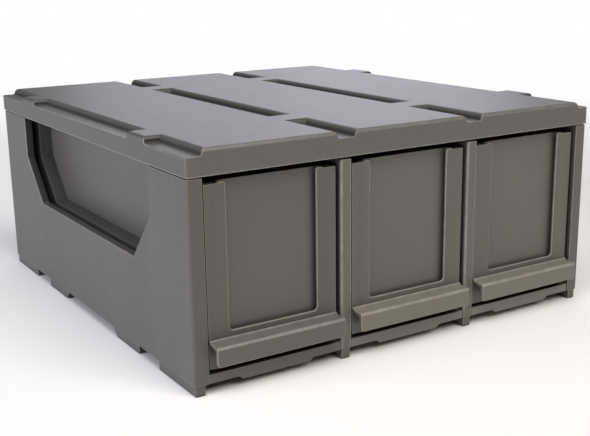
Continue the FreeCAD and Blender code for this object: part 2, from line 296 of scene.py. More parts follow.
@contextmanager
def editing(piece: Piece) -> Iterator[None]:
    """Edit mode on a piece with all of it selected, then object mode again.

    Args:
        piece: Piece to edit.

    Returns:
        A context in which operators act on the whole piece.
    """
    take(piece)
    bpy.ops.object.mode_set(mode="EDIT")
    bpy.ops.mesh.select_all(action="SELECT")
    yield
    bpy.ops.object.mode_set(mode="OBJECT")


def block(name: str, low: Point, high: Point) -> Piece:
    """Add a block between two corners, with its place in its mesh.

    Args:
        name: Name of the new object.
        low: Lowest corner, in millimetres.
        high: Highest corner, in millimetres.

    Returns:
        The block, at the origin, unturned and unscaled.
    """
    bpy.ops.object.select_all(action="DESELECT")
    middle = [(a + b) / 2 * MM for a, b in zip(low, high)]
    size = [(b - a) * MM for a, b in zip(low, high)]
    bpy.ops.mesh.primitive_cube_add(size=1.0, location=middle, scale=size)
    bpy.ops.object.transform_apply(location=True, rotation=True, scale=True)
    return markable(name)


def prism(name: str, outline: Outline, axis: Axis, start: float, end: float) -> Piece:
    """Extrude an outline along an axis.

    Args:
        name: Name of the new object.
        outline: Points across the axis, in millimetres: (y, z) for X, (x, z) for Y, (x, y) for Z.
        axis: Direction of the prism.
        start: Where the prism starts along the axis.
        end: Where the prism ends along the axis.

    Returns:
        The closed prism, with its faces outwards.
    """
    bpy.ops.object.select_all(action="DESELECT")
    bpy.ops.mesh.primitive_circle_add(vertices=len(outline), radius=1.0, fill_type="NGON")
    piece = markable(name)
    for corner, (a, b) in zip(piece.data.vertices, outline):
        place = [a, b]
        place.insert(axis.value, start)
        corner.co = Vector(place) * MM
    travel = [0.0, 0.0, 0.0]
    travel[axis.value] = (end - start) * MM
    with editing(piece):
        bpy.ops.mesh.extrude_region_move(TRANSFORM_OT_translate={"value": travel})
        bpy.ops.mesh.select_all(action="SELECT")
        bpy.ops.mesh.normals_make_consistent(inside=False)
    return piece


def markable(name: str) -> Piece:
    """Name the piece just added and give it two empty material slots, the second for its rounded edges.

    Args:
        name: Name of the piece.

    Returns:
        The piece.
    """
    piece = bpy.context.object
    piece.name = name
    for _ in range(2):
        piece.data.materials.append(None)
    return piece


def pick_edges(piece: Piece, test: EdgeTest) -> int:
    """Enter edit mode on a piece with only the real edges that pass a test selected.

    Args:
        piece: Piece to edit. It is left in edit mode.
        test: Says whether an edge is wanted.

    Returns:
        Number of edges selected.
    """
    take(piece)
    bpy.ops.object.mode_set(mode="EDIT")
    bpy.ops.mesh.select_mode(type="EDGE")
    bpy.ops.mesh.select_all(action="DESELECT")
    mesh = bmesh.from_edit_mesh(piece.data)
    wanted = [edge for edge in mesh.edges if turns(edge) and test(edge)]
    for edge in wanted:
        edge.select_set(True)
    bmesh.update_edit_mesh(piece.data)
    return len(wanted)


def turns(edge: Edge) -> bool:
    """Whether an edge is a real edge of the shape and not a line across a flat face."""
    return len(edge.link_faces) == 2 and edge.calc_face_angle() > SHARP


def at(edge: Edge, axis: Axis, place: float) -> bool:
    """Whether both ends of an edge lie at a place on an axis, in millimetres."""
    return all(abs(end.co[axis.value] / MM - place) < NEAR for end in edge.verts)


def centre(part: Edge | Face) -> Vector:
    """Middle of an edge's two ends or of a face's corners, in millimetres."""
    return sum((corner.co for corner in part.verts), Vector()) / (len(part.verts) * MM)


def straight(run: Vector, axis: Axis) -> bool:
    """Whether a run in millimetres goes along an axis and nowhere else."""
    return all(abs(step) < NEAR for i, step in enumerate(run) if i != axis.value)


def along(axis: Axis, *places: tuple[Axis, float]) -> EdgeTest:
    """Test for edges that run along an axis.

    Args:
        axis: Direction of the edges.
        places: Axis and millimetres that both ends have to lie at.

    Returns:
        The test.
    """

    def test(edge: Edge) -> bool:
        """Whether the edge runs along the axis, at the places."""
        run = edge.verts[1].co / MM - edge.verts[0].co / MM
        return straight(run, axis) and all(at(edge, across, place) for across, place in places)

    return test


def round_edges(piece: Piece, test: EdgeTest, radius: float, steps: int, highlighted: bool = False) -> Piece:
    """Round the real edges of a piece that pass a test.

    Args:
        piece: Piece to shape.
        test: Says which edges are rounded.
        radius: Radius of the rounding, in millimetres.
        steps: Number of faces across the rounding.
        highlighted: Whether the rounding is marked for painted light: a highlight if convex, shade if
            concave.

    Returns:
        The shaped piece.
    """
    count = pick_edges(piece, test)
    slot = 1 if highlighted else -1
    if count:
        bpy.ops.mesh.bevel(
            offset=radius * MM, segments=steps, affect="EDGES", clamp_overlap=False, material=slot
        )
    bpy.ops.object.mode_set(mode="OBJECT")
    LOG.debug("%s: %d edges rounded to %.2f mm", piece.name, count, radius)
    return piece


def combine(piece: Piece, tools: Sequence[Piece], operation: str) -> Piece:
    """Join, cut or trim a piece with others, which are used up.

    Args:
        piece: Piece to change.
        tools: Closed shapes to change it with, one after another.
        operation: UNION, DIFFERENCE or INTERSECT.

    Returns:
        The changed piece.
    """
    for tool in tools:
        take(piece)
        change = piece.modifiers.new(operation.lower(), "BOOLEAN")
        change.operation, change.solver, change.object = operation, "EXACT", tool
        bpy.ops.object.modifier_apply(modifier=change.name)
        bpy.data.objects.remove(tool, do_unlink=True)
    return piece


def cut(piece: Piece, *tools: Piece) -> Piece:
    """Take closed shapes out of a piece."""
    return combine(piece, tools, "DIFFERENCE")


def add(piece: Piece, *tools: Piece) -> Piece:
    """Join closed shapes to a piece."""
    return combine(piece, tools, "UNION")


def clean(piece: Piece) -> Piece:
    """Merge doubled points, and make one face of those that lie in one plane.

    Args:
        piece: Piece to clean.

    Returns:
        The piece, with its faces outwards.
    """
    with editing(piece):
        bpy.ops.mesh.remove_doubles(threshold=MERGE)
        bpy.ops.mesh.dissolve_limited(angle_limit=FLAT)
        bpy.ops.mesh.normals_make_consistent(inside=False)
    return piece


def copied(piece: Piece, name: str, move: Matrix) -> Piece:
    """Copy a piece with its own mesh.

    Args:
        piece: Piece to copy.
        name: Name of the copy.
        move: Moves or mirrors the copy's mesh.

    Returns:
        The copy, linked to the scene.
    """
    twin = piece.copy()
    twin.data = piece.data.copy()
    twin.name = twin.data.name = name
    twin.data.transform(move)
    bpy.context.scene.collection.objects.link(twin)
    return twin


def row(piece: Piece, places: dict[Bay, float]) -> list[Piece]:
    """Copies of a piece side by side across the box. The piece itself is used up.

    Args:
        piece: Piece modelled in the middle of the box.
        places: How many millimetres to the right of it each copy stands.

    Returns:
        The copies, each with its place in front of its name.
    """
    copies = [
        copied(piece, f"{bay.word}_{piece.name}", Matrix.Translation((x * MM, 0, 0)))
        for bay, x in places.items()
    ]
    bpy.data.objects.remove(piece, do_unlink=True)
    return copies


def soften(
    piece: Piece,
    radius: float,
    steps: int = 2,
    sheen: FaceTest | None = None,
    coarse: FaceShare | None = None,
) -> Piece:
    """Give every sharp edge of a moulding its small radius, and smooth its shading.

    Args:
        piece: Piece to finish.
        radius: Radius of the edges, in millimetres.
        steps: Number of faces across each edge.
        sheen: Says which open faces get a painted sheen as well.
        shaded: Says how much painted shade a face gets, from 0 to 1, as on a steep side in shadow.

    Returns:
        The finished piece.
    """
    take(piece)
    bevel = piece.modifiers.new("edge_radius", "BEVEL")
    bevel.width, bevel.segments, bevel.limit_method, bevel.angle_limit = radius * MM, steps, "ANGLE", SHARP
    bevel.use_clamp_overlap, bevel.miter_outer, bevel.material = False, "MITER_ARC", 1
    bpy.ops.object.modifier_apply(modifier=bevel.name)
    mark_rub(piece, sheen, coarse)
    bpy.ops.object.shade_smooth_by_angle(angle=SHARP)
    weigh = piece.modifiers.new("flat_faces", "WEIGHTED_NORMAL")
    weigh.keep_sharp, weigh.weight = True, 100
    bpy.ops.object.modifier_apply(modifier=weigh.name)
    return piece


def mark_rub(piece: Piece, sheen: FaceTest | None, coarse: FaceShare | None) -> None:
    """Write the face attribute that the finish reads.

    It is a painted highlight (1.0) on rounded outer edges, painted shade (-0.5) in rounded inner
    corners, a weaker painted sheen (0.45) on chosen open faces, painted shade down to -1 on shaded faces,
    and 0 elsewhere.

    Args:
        piece: Piece with its rounded edges in its second material slot.
        sheen: Says which open faces get a painted sheen.
        shaded: Says how much painted shade a face gets, from 0 to 1.
    """
    mesh = bmesh.new()
    mesh.from_mesh(piece.data)
    layer = mesh.faces.layers.float.new(MARK)
    for face in mesh.faces:
        # Painted shade on shaded faces and in inner roundings, a painted highlight on outer roundings, a
        # painted sheen on chosen faces.
        share = coarse(face) if coarse else 0.0
        if share:
            face[layer] = -share
        elif face.material_index:
            turn = sum(edge.calc_face_angle_signed(0.0) for edge in face.edges)
            face[layer] = EDGE_HIGHLIGHT if turn > 0 else INNER_SHADE
        elif sheen and sheen(face):
            face[layer] = FACE_SHEEN
        face.material_index = 0
    mesh.to_mesh(piece.data)
    mesh.free()
    piece.data.materials.clear()


# ---- Finishes ----


def linear(code: str) -> tuple[float, float, float, float]:
    """Linear colour of an sRGB hex code.

    Args:
        code: Six hex digits after a #.

    Returns:
        Red, green, blue and an alpha of 1.
    """
    parts = [int(code[i:i + 2], 16) / 255 for i in (1, 3, 5)]
    return (*(p / 12.92 if p <= 0.04045 else ((p + 0.055) / 1.055) ** 2.4 for p in parts), 1.0)


def add_node(
    tree: NodeTree,
    kind: str,
    values: dict[str | int, Any] | None = None,
    links: dict[str | int, Node | Socket] | None = None,
    **settings: Any,
) -> Node:
    """Add a node with its settings and links.

    Args:
        tree: Node tree to add it to.
        kind: Blender's name for the node, after ShaderNode.
        values: Value of each unlinked input, by name or number.
        links: Output that feeds each linked input, or a node for its first output, by name or number.
        settings: The node's own settings.

    Returns:
        The node.
    """
    made = tree.nodes.new("ShaderNode" + kind)
    for name, value in settings.items():
        setattr(made, name, value)
    for key, value in (values or {}).items():
        made.inputs[key].default_value = value
    for key, source in (links or {}).items():
        socket = source.outputs[0] if isinstance(source, Node) else source
        tree.links.new(socket, made.inputs[key])
    return made


MIX_FACTOR, MIX_A, MIX_B, MIX_COLOUR = 0, 6, 7, 2          # sockets of a Mix node set to colours
NOISE_ENDS = {"From Min": 0.3, "From Max": 0.7}            # nearly all that a noise gives lies between


@dataclass(frozen=True)
class MouldedABS:
    """Injection-moulded ABS with a satin spark-eroded texture.

    The texture scatters the light, so the faces look soft and even. The colour flows a little with
    the melt. The rounded edges get a painted highlight and a smoother finish, and inner corners, gaps
    and steep sides get painted shade.
    """

    name: str
    colour: str                     # sRGB hex of the plastic
    flow_colour: str                # where the melt has drawn the pigment out
    rub_colour: str                 # painted highlight on edges and sheen faces
    flow: Point = (60.0, 60.0, 60.0)   # size of the cloudy flow marks, in millimetres
    grain: float = 1.6              # the real grain is 0.2 mm; this is as coarse as it needs to show
    peel: float = 7.0               # long waves of the skin, in millimetres
    roughness: float = 0.46
    rub_roughness: float = 0.34
    ior: float = 1.54               # ABS
    corner_reach: float = 5.0       # how far painted shade spreads out of inner corners and gaps between parts
    corner_shade: float = 0.42      # how dark the painted shade makes the deepest corner
    coarse_shade: float = 0.45      # how dark the painted shade on steep sides is
    speck: float = 0.04             # how much lighter or darker single grains are
    missed: float = 0.55            # share of the painted highlight where the peel noise is lowest
    sway: float = 0.015             # how much the roughness changes with the peel
    grain_height: float = 0.06      # of the bump, in millimetres
    peel_height: float = 0.25
    seed: float = 0.0               # moves the clouds, so that no two mouldings match

    def material(self) -> bpy.types.Material:
        """Build the material, or hand back the one already built.

        Returns:
            The material of this finish.
        """
        ready = bpy.data.materials.get(self.name)
        if ready:
            return ready
        made = bpy.data.materials.new(self.name)
        made.use_nodes = True
        tree = made.node_tree
        tree.nodes.clear()
        place = add_node(tree, "TexCoord").outputs["Object"]
        grain = add_node(
            tree, "TexNoise", {"Scale": 1 / (self.grain * MM), "Detail": 2.0, "Roughness": 0.6},
            {"Vector": place},
        )
        peel = add_node(tree, "TexNoise", {"Scale": 1 / (self.peel * MM), "Detail": 1.0}, {"Vector": place})
        mark = add_node(tree, "Attribute", attribute_name=MARK).outputs["Fac"]
        # Painted highlight: the mark, made patchy by the peel noise, mixes in a lighter colour and a smoother
        # finish.
        patchy = add_node(tree, "MapRange", {**NOISE_ENDS, "To Min": self.missed}, {"Value": peel})
        painted_highlight = add_node(tree, "Math", {}, {0: mark, 1: patchy}, operation="MULTIPLY", use_clamp=True)
        plastic = self.plastic(tree, place, grain, mark)
        colour = add_node(
            tree, "Mix", {MIX_B: linear(self.rub_colour)}, {MIX_FACTOR: painted_highlight, MIX_A: plastic}, data_type="RGBA"
        ).outputs[MIX_COLOUR]
        low, high = self.roughness - self.sway, self.roughness + self.sway
        rough = add_node(
            tree, "MapRange", {"From Min": 0.25, "From Max": 0.75, "To Min": low, "To Max": high},
            {"Value": peel},
        )
        rough = add_node(
            tree, "Mix", {"B": self.rub_roughness}, {"Factor": painted_highlight, "A": rough}, data_type="FLOAT"
        )
        skin = add_node(tree, "Bump", {"Strength": 0.05, "Distance": self.peel_height * MM}, {"Height": peel})
        skin = add_node(
            tree, "Bump", {"Strength": 0.25, "Distance": self.grain_height * MM},
            {"Height": grain, "Normal": skin},
        )
        shader = add_node(
            tree, "BsdfPrincipled", {"IOR": self.ior, "Metallic": 0.0},
            {"Base Color": colour, "Roughness": rough, "Normal": skin},
        )
        add_node(tree, "OutputMaterial", {}, {"Surface": shader})
        return made

    def plastic(self, tree: NodeTree, place: Socket, grain: Node, mark: Socket) -> Node:
        """Nodes for the colour of the plastic under its painted highlight, with its painted shade.

        Args:
            tree: The material's node tree.
            place: Output with the place on the piece.
            grain: Noise of the grain.
            mark: Output with the face attribute.

        Returns:
            The node whose first output is the colour.
        """
        start = (self.seed, self.seed * 0.7, -self.seed)
        drawn = add_node(
            tree, "Mapping", {"Location": start, "Scale": [1 / (s * MM) for s in self.flow]},
            {"Vector": place},
        )
        cloud = add_node(
            tree, "TexNoise", {"Scale": 1.0, "Detail": 3.0, "Roughness": 0.55}, {"Vector": drawn}
        )
        cloud = add_node(tree, "MapRange", {"From Min": 0.32, "From Max": 0.68}, {"Value": cloud})
        colour = add_node(
            tree, "Mix", {MIX_A: linear(self.colour), MIX_B: linear(self.flow_colour)}, {MIX_FACTOR: cloud},
            data_type="RGBA",
        ).outputs[MIX_COLOUR]
        speck = add_node(
            tree, "MapRange", {**NOISE_ENDS, "To Min": 1 - self.speck, "To Max": 1 + self.speck},
            {"Value": grain},
        )
        # Painted shade: ambient occlusion darkens the colour in inner corners and in gaps between parts.
        closed = add_node(tree, "AmbientOcclusion", {"Distance": self.corner_reach * MM}, samples=4)
        painted_ao_shade = add_node(
            tree, "MapRange", {"From Min": 0.45, "From Max": 0.95, "To Min": self.corner_shade},
            {"Value": closed.outputs["AO"]},
        )
        # Painted shade on steep sides and in inner roundings, read from the mark.
        mark_shade = add_node(
            tree, "MapRange", {"From Min": -1.0, "From Max": 0.0, "To Min": self.coarse_shade},
            {"Value": mark},
        )
        shade = add_node(tree, "Math", {}, {0: painted_ao_shade, 1: mark_shade}, operation="MULTIPLY")
        shade = add_node(tree, "Math", {}, {0: speck, 1: shade}, operation="MULTIPLY")
        return add_node(tree, "VectorMath", {}, {0: colour, 1: shade}, operation="MULTIPLY")

    def dress(self, piece: Piece) -> None:
        """Give a piece this finish and no other."""
        piece.data.materials.clear()
        piece.data.materials.append(self.material())


def abs_set(kind: str, rows: dict[str, tuple[str, str, str, float]], **shared: Any) -> list[MouldedABS]:
    """Finishes of the mouldings of one kind.

    Args:
        kind: What the mouldings are.
        rows: Colour, flow colour, rub colour and seed of each, by its place across the box.
        shared: What they have in common.

    Returns:
        The finishes, from left to right.
    """
    return [
        MouldedABS(f"moulded_abs_{word}_{kind}", *colours, seed=seed, **shared)
        for word, (*colours, seed) in rows.items()
    ]


# Broad, faint clouds on the lid's wide faces.
LID_ABS = MouldedABS(
    "moulded_abs_lid", "#555350", "#575552", "#858380", flow=(120.0, 190.0, 90.0), coarse_shade=0.4, seed=1.3
)
# Soft upright bands, as the melt rose through the walls from their feet. The left wall is painted
# darker than the right: painted shade.
WALL_ABS = abs_set(
    "wall",
    {"left": ("#4a4845", "#504e4b", "#7b7872", 4.1), "right": ("#53514c", "#585651", "#817e77", 31.7)},
    flow=(40.0, 26.0, 300.0),
)
# Narrower upright bands on the dividers and the back panel.
DIVIDER_ABS = MouldedABS(
    "moulded_abs_divider", "#585650", "#5c5a55", "#827e75", flow=(12.0, 50.0, 260.0), seed=5.6
)
PANEL_ABS = MouldedABS(
    "moulded_abs_panel", "#52504a", "#565450", "#817d74", flow=(12.0, 50.0, 260.0), seed=28.3
)
# Level bands on the floor panels, each painted paler than the one to its left: painted light on
# the sills under the pulls.
FLOOR_ABS = abs_set(
    "floor",
    {
        "left": ("#565450", "#5a5853", "#817d74", 33.9),
        "middle": ("#6a6861", "#6e6c65", "#8b887f", 36.2),
        "right": ("#716e67", "#75726b", "#908d84", 38.8),
    },
    flow=(90.0, 90.0, 6.0),
)
# Even faces on the trays, one cooler and one greener than the next.
TRAY_ABS = abs_set(
    "tray",
    {
        "left": ("#545150", "#575453", "#787572", 22.6),
        "middle": ("#59584f", "#5c5b52", "#7b7a72", 25.1),
        "right": ("#5d5854", "#605b57", "#7c7874", 27.6),
    },
    flow=(80.0, 80.0, 90.0), corner_shade=0.8, coarse_shade=0.8,
)
# Fine upright bands on the frames' flanges, and no painted shade in their corners.
FRAME_ABS = abs_set(
    "frame",
    {
        "left": ("#4e4c44", "#54524c", "#817e75", 7.9),
        "middle": ("#53524a", "#595850", "#84827a", 11.4),
        "right": ("#53504b", "#5a5651", "#847f79", 15.2),
    },
    flow=(8.0, 60.0, 260.0), corner_shade=1.0,
)
# Long level bands on the pulls; the middle and right ones are painted paler: painted light.
PULL_ABS = abs_set(
    "pull",
    {
        "left": ("#53514d", "#575551", "#85817a", 17.4),
        "middle": ("#656359", "#69665c", "#918c81", 19.9),
        "right": ("#66645a", "#6a675e", "#918d82", 22.6),
    },
    flow=(240.0, 60.0, 9.0),
)


# ---- Mouldings ----


@dataclass
class Moulding:
    """A moulding of the box: what every sub-assembly shares."""

    sizes: BoxSizes = field(default_factory=BoxSizes)
    edge_radius: float = 0.5

    def fit(self, piece: Piece, node: str, body: str, slot: Slot, finish: MouldedABS) -> Piece:
        """Dress a piece and put it in the place of a CAD node.

        Args:
            piece: The finished piece.
            node: CAD node that it stands for.
            body: CAD body that it moves with.
            slot: Material slot that it takes its finish from; not used.
            finish: Its plastic.

        Returns:
            The piece.
        """
        finish.dress(piece)
        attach(piece, body)
        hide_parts(node)
        LOG.info("%s: %d faces, on %s", piece.name, len(piece.data.polygons), body)
        return piece


@dataclass
class Lid(Moulding):
    """Lid with three plateaus, and the sunk channels and ledges that take a stacked box's feet."""

    corner: float = 3.0
    ledge_width: float = 11.5
    channel_width: float = 14.0
    draft: float = 1.5             # lean of a plateau's side over its height
    crown_radius: float = 2.8      # rounding of the plateaus' top edges
    root_radius: float = 0.9       # rounding where a plateau's side meets a ledge or channel
    rim_radius: float = 0.9        # rounding of the rim's outer bottom edge
    ledge_radius: float = 1.1      # rounding of the ledges' outer edges
    plug_depth: float = 6.0
    plug_gap: float = 0.2
    rim_coarse: float = 0.35       # how much painted shade the rim's ends get

    def slot_cutter(self, x0: float, x1: float, y0: float, y1: float, lean: Sequence[int]) -> Piece:
        """Cutter for one sunk stretch, with sides that open outwards as they rise.

        Args:
            x0: Left side at the sunk floor.
            x1: Right side at the sunk floor.
            y0: Front end at the sunk floor.
            y1: Back end at the sunk floor.
            lean: 1 or 0 for whether the left, right, front and back sides lean.

        Returns:
            The cutter.
        """
        s = self.sizes
        top = s.lid_top + PAST
        out = self.draft * (top - s.ledge_top) / (s.lid_top - s.ledge_top)
        cutter = block("slot_cutter", (x0, y0, s.ledge_top), (x1, y1, top))
        sides = [(Axis.X, x0, -out), (Axis.X, x1, out), (Axis.Y, y0, -out), (Axis.Y, y1, out)]
        for leans, (axis, place, move) in zip(lean, sides):
            if leans:
                pick_edges(cutter, lambda e: at(e, Axis.Z, top) and at(e, axis, place))
                step = [0.0, 0.0, 0.0]
                step[axis.value] = move * MM
                bpy.ops.transform.translate(value=step)
                bpy.ops.object.mode_set(mode="OBJECT")
        return cutter

    def run(self, x0: float, x1: float, lean_left: int, lean_right: int) -> list[Piece]:
        """Cutters for one channel or ledge, between and beyond its bridges.

        Args:
            x0: Left side at the sunk floor.
            x1: Right side at the sunk floor.
            lean_left: 1 or 0 for whether the left side leans.
            lean_right: 1 or 0 for whether the right side leans.

        Returns:
            The cutters of its three stretches.
        """
        s = self.sizes
        start, end = s.front + s.bridge_start, s.front + s.bridge_end
        sides = (lean_left, lean_right)
        lean_end = lean_left * lean_right      # a channel's ends lean too; a ledge's stand upright
        return [
            self.slot_cutter(x0, x1, s.front - PAST, start, (*sides, 0, lean_end)),
            self.slot_cutter(x0, x1, end, s.at_back(end), (*sides, lean_end, lean_end)),
            self.slot_cutter(x0, x1, s.at_back(start), s.back + PAST, (*sides, lean_end, 0)),
        ]

    def build(self) -> list[Piece]:
        """Model the lid.

        Returns:
            The lid, with its edges rounded.
        """
        s = self.sizes
        half, plate, reach = s.lid_width / 2, s.ledge_top - s.skin, self.channel_width / 2
        lid = block("lid_moulding", (-half, s.front, s.seat), (half, s.back, s.lid_top))
        round_edges(lid, along(Axis.Z), self.corner, steps=6)
        cut(lid, *self.run(-half - PAST, -half + self.ledge_width, 0, 1))
        cut(lid, *self.run(half - self.ledge_width, half + PAST, 1, 0))
        for x in s.dividers.values():
            cut(lid, *self.run(x - reach, x + reach, 1, 1))
        for bay in Bay:
            cut(lid, *self.hollows(bay, plate))
        clean(lid)
        round_edges(lid, lambda e: at(e, Axis.Z, s.lid_top), self.crown_radius, steps=5)
        round_edges(lid, self.on_root, self.root_radius, steps=3, highlighted=True)
        round_edges(lid, self.on_rim, self.rim_radius, steps=3, highlighted=True)
        round_edges(lid, self.on_ledge, self.ledge_radius, steps=3, highlighted=True)
        add(lid, *self.plugs(plate))
        # The crowns get a painted sheen, and the plateau sides and rim ends get painted shade.
        return [soften(clean(lid), self.edge_radius, sheen=self.on_crown, coarse=self.side_texture)]

    def within(self, place: Vector, margin: float) -> bool:
        """Whether a place is farther than a margin from the lid's outer faces, seen from above."""
        s = self.sizes
        return abs(place.x) < s.lid_width / 2 - margin and s.front + margin < place.y < s.back - margin

    def on_root(self, edge: Edge) -> bool:
        """Whether a plateau's side meets a ledge or channel at an edge."""
        return at(edge, Axis.Z, self.sizes.ledge_top) and not edge.is_convex

    def on_rim(self, edge: Edge) -> bool:
        """Test for the outer bottom edge of the lid's rim.

        Args:
            edge: Edge of the lid.

        Returns:
            Whether it is part of it.
        """
        s, place, wall = self.sizes, centre(edge), self.corner + SLACK
        in_corner = abs(place.x) > s.lid_width / 2 - wall and not s.front + wall < place.y < s.back - wall
        return at(edge, Axis.Z, s.seat) and (in_corner or not self.within(place, OVER))

    def on_ledge(self, edge: Edge) -> bool:
        """Whether an edge is the outer top edge of a ledge."""
        top, half = self.sizes.ledge_top, self.sizes.lid_width / 2
        return at(edge, Axis.Z, top) and any(at(edge, Axis.X, x) for x in (-half, half))

    def on_crown(self, face: Face) -> bool:
        """Test for the roundings along the plateaus' front and back edges, which get a painted sheen.

        Args:
            face: Face of the lid.

        Returns:
            Whether it is part of one.
        """
        s, place = self.sizes, centre(face)
        across = not s.front + self.crown_radius < place.y < s.back - self.crown_radius
        return across and place.z > s.lid_top - self.crown_radius and 1 - FACING < face.normal.z < FACING

    def side_texture(self, face: Face) -> float:
        """How much painted shade a face gets.

        Args:
            face: Face of the lid.

        Returns:
            1 on the sides of a plateau, less and less over their rounding, and a little on the rim's ends.
        """
        s, place = self.sizes, centre(face)
        if abs(place.x) > s.lid_width / 2 - 2 * SLACK and abs(face.normal.x) > FACING:
            return self.rim_coarse
        if not self.within(place, 5 * SLACK) or place.z < s.ledge_top - SLACK or face.normal.z > FACING:
            return 0.0
        if place.z > s.lid_top - self.crown_radius + SLACK:
            return 0.0 if self.on_crown(face) else 1.0 - face.normal.z
        return 1.0 if face.normal.z < STEEP else 0.0

    def hollows(self, bay: Bay, plate: float) -> list[Piece]:
        """Cutters for the hollow under one plateau.

        Args:
            bay: Column that the plateau is over.
            plate: Height of the underside beneath the ledges and channels.

        Returns:
            The wide lower hollow and the narrower one inside the plateau.
        """
        s = self.sizes
        x, half = s.columns[bay], s.lid_width / 2
        wide, wall = (s.pitch - s.skin) / 2, s.skin + self.draft
        narrow = (s.pitch - self.channel_width) / 2 - wall
        low, high = [x - wide, x - narrow], [x + wide, x + narrow]
        if bay is Bay.LEFT:
            low = [-half + s.skin, -half + self.ledge_width + wall]
        if bay is Bay.RIGHT:
            high = [half - s.skin, half - self.ledge_width - wall]
        y0, y1 = s.front + s.skin, s.back - s.skin
        return [
            block("hollow", (low[0], y0, s.seat - PAST), (high[0], y1, plate)),
            block("crown_hollow", (low[1], y0, plate - s.skin), (high[1], y1, s.lid_top - s.skin)),
        ]

    def plugs(self, plate: float) -> list[Piece]:
        """The plugs that go down into the hollow corner posts.

        Args:
            plate: Height of the underside beneath the ledges and channels.

        Returns:
            Four plugs.
        """
        s = self.sizes
        inset = s.skin + self.plug_gap
        x0, x1 = s.inner_side + inset, s.wall_side - inset
        ends = s.both_ends(s.wall_front + inset, s.wall_front + s.post_depth - self.plug_gap)
        low, high = s.seat - self.plug_depth, plate + OVER
        return [block("plug", (a, c, low), (b, d, high)) for a, b in ((-x1, -x0), (x0, x1)) for c, d in ends]


@dataclass
class Feet:
    """The four feet under a wall or divider, with a notch over each of the lid's bridges."""

    sizes: BoxSizes = field(default_factory=BoxSizes)
    width: float = 7.4
    inset: float = 1.1
    notch_gap: float = 2.75
    middle_length: float = 49.0
    slope: float = 6.0
    root: float = 1.0              # how far a foot reaches up into the wall that carries it

    def build(self, x0: float, back: float, corner: float = 0.0) -> list[Piece]:
        """Model the feet of one wall.

        Args:
            x0: Left side of the feet.
            back: Back end of the last foot.
            corner: Radius of the outer upright corners at the wall's two ends.

        Returns:
            Four closed feet.
        """
        s = self.sizes
        x1, top = x0 + self.width, s.foot_height + self.root
        front = s.wall_front + self.inset
        start = s.front + s.bridge_start - self.notch_gap
        end = s.front + s.bridge_end + self.notch_gap
        run = end + self.middle_length
        lean = self.slope * top / s.foot_height
        outline = [(end, 0), (run - self.slope, 0), (run - self.slope + lean, top), (end, top)]
        mirrored = [(s.at_back(y), z) for y, z in outline]
        ends = [
            block("front_foot", (x0, front, 0), (x1, start, top)),
            block("back_foot", (x0, s.at_back(start), 0), (x1, back, top)),
        ]
        if corner:
            for foot, y in zip(ends, (front, back)):
                round_edges(foot, along(Axis.Z, (Axis.X, x0), (Axis.Y, y)), corner, steps=4)
        return ends + [
            prism("middle_foot", outline, Axis.X, x0, x1),
            prism("middle_foot", mirrored, Axis.X, x0, x1),
        ]


@dataclass
class SideWalls(Moulding):
    """Left and right side walls: a skin with hollow posts, a windowed middle and feet."""

    corner: float = 2.5
    rim_setback: float = 0.5       # how far inside the outer face the window's turned-in rim starts
    window_return: float = 6.6     # how far in the rim reaches
    window_start: float = 0.6      # depth at which its painted shade starts
    window_radius: float = 0.9

    def build(self) -> list[Piece]:
        """Model the left wall and mirror it.

        Returns:
            The left and the right wall.
        """
        s = self.sizes
        outer, inner, base, past = -s.wall_side, -s.inner_side, s.foot_height, s.seat + PAST
        end = (inner, s.wall_back, s.seat + OVER)
        wall = block("left_side_wall_moulding", (outer, s.wall_front, base), end)
        round_edges(wall, along(Axis.Z, (Axis.X, outer)), self.corner, steps=6)
        shelf = base + s.shelf
        depth = s.wall_front + s.post_depth
        cut(wall, block("recess", (outer + s.skin, depth, shelf), (inner + PAST, s.at_back(depth), past)))
        for y0, y1 in s.both_ends(s.wall_front + s.skin, depth + PAST):
            cut(wall, block("post_hollow", (outer + s.skin, y0, shelf), (inner - s.skin, y1, past)))
        rim_ends = outer + self.rim_setback, outer + self.window_return
        rim = prism("window_rim", s.window(s.skin), Axis.X, *rim_ends)
        trim = block("trim", (outer, s.wall_front, base + OVER), (inner, s.wall_back, s.seat + 2 * OVER))
        add(wall, combine(rim, [trim], "INTERSECT"))
        cut(wall, block("top", (outer - OVER, s.front, s.seat), (inner + OVER, s.back, past)))
        cut(wall, prism("window_cutter", s.window(0), Axis.X, outer - PAST, inner))
        gap = s.seat - s.seam
        cut(wall, block("seam", (outer - PAST, s.front, gap), (outer + s.seam_depth, s.back, past)))
        for y0, y1 in s.both_ends(s.wall_front - PAST, s.wall_front + s.seam_depth):
            cut(wall, block("seam", (outer - OVER, y0, gap), (inner + OVER, y1, past)))
        feet = Feet(s)
        add(wall, *feet.build(outer + feet.inset, s.wall_back - feet.inset, self.corner - feet.inset))
        clean(wall)
        round_edges(wall, self.on_window, self.window_radius, steps=3, highlighted=True)
        twin = copied(wall, "right_side_wall_moulding", Matrix.Scale(-1, 4, Vector((1, 0, 0))))
        with editing(twin):
            bpy.ops.mesh.normals_make_consistent(inside=False)
        return [soften(piece, self.edge_radius, coarse=self.window_side) for piece in (wall, twin)]

    def window_side(self, face: Face) -> bool:
        """Test for the faces that line the window, behind its rounded outer edge, which get painted shade.

        Args:
            face: Face of a wall.

        Returns:
            Whether it is one of them.
        """
        s, place = self.sizes, centre(face)
        lines = self.window_start < s.wall_side - abs(place.x) < self.window_return
        return lines and s.in_window(place) and abs(face.normal.x) < STEEP and face.normal.z < STEEP

    def on_window(self, edge: Edge) -> bool:
        """Whether an edge is the window's edge on the left wall's outer face."""
        s = self.sizes
        return at(edge, Axis.X, -s.wall_side) and s.in_window(centre(edge))


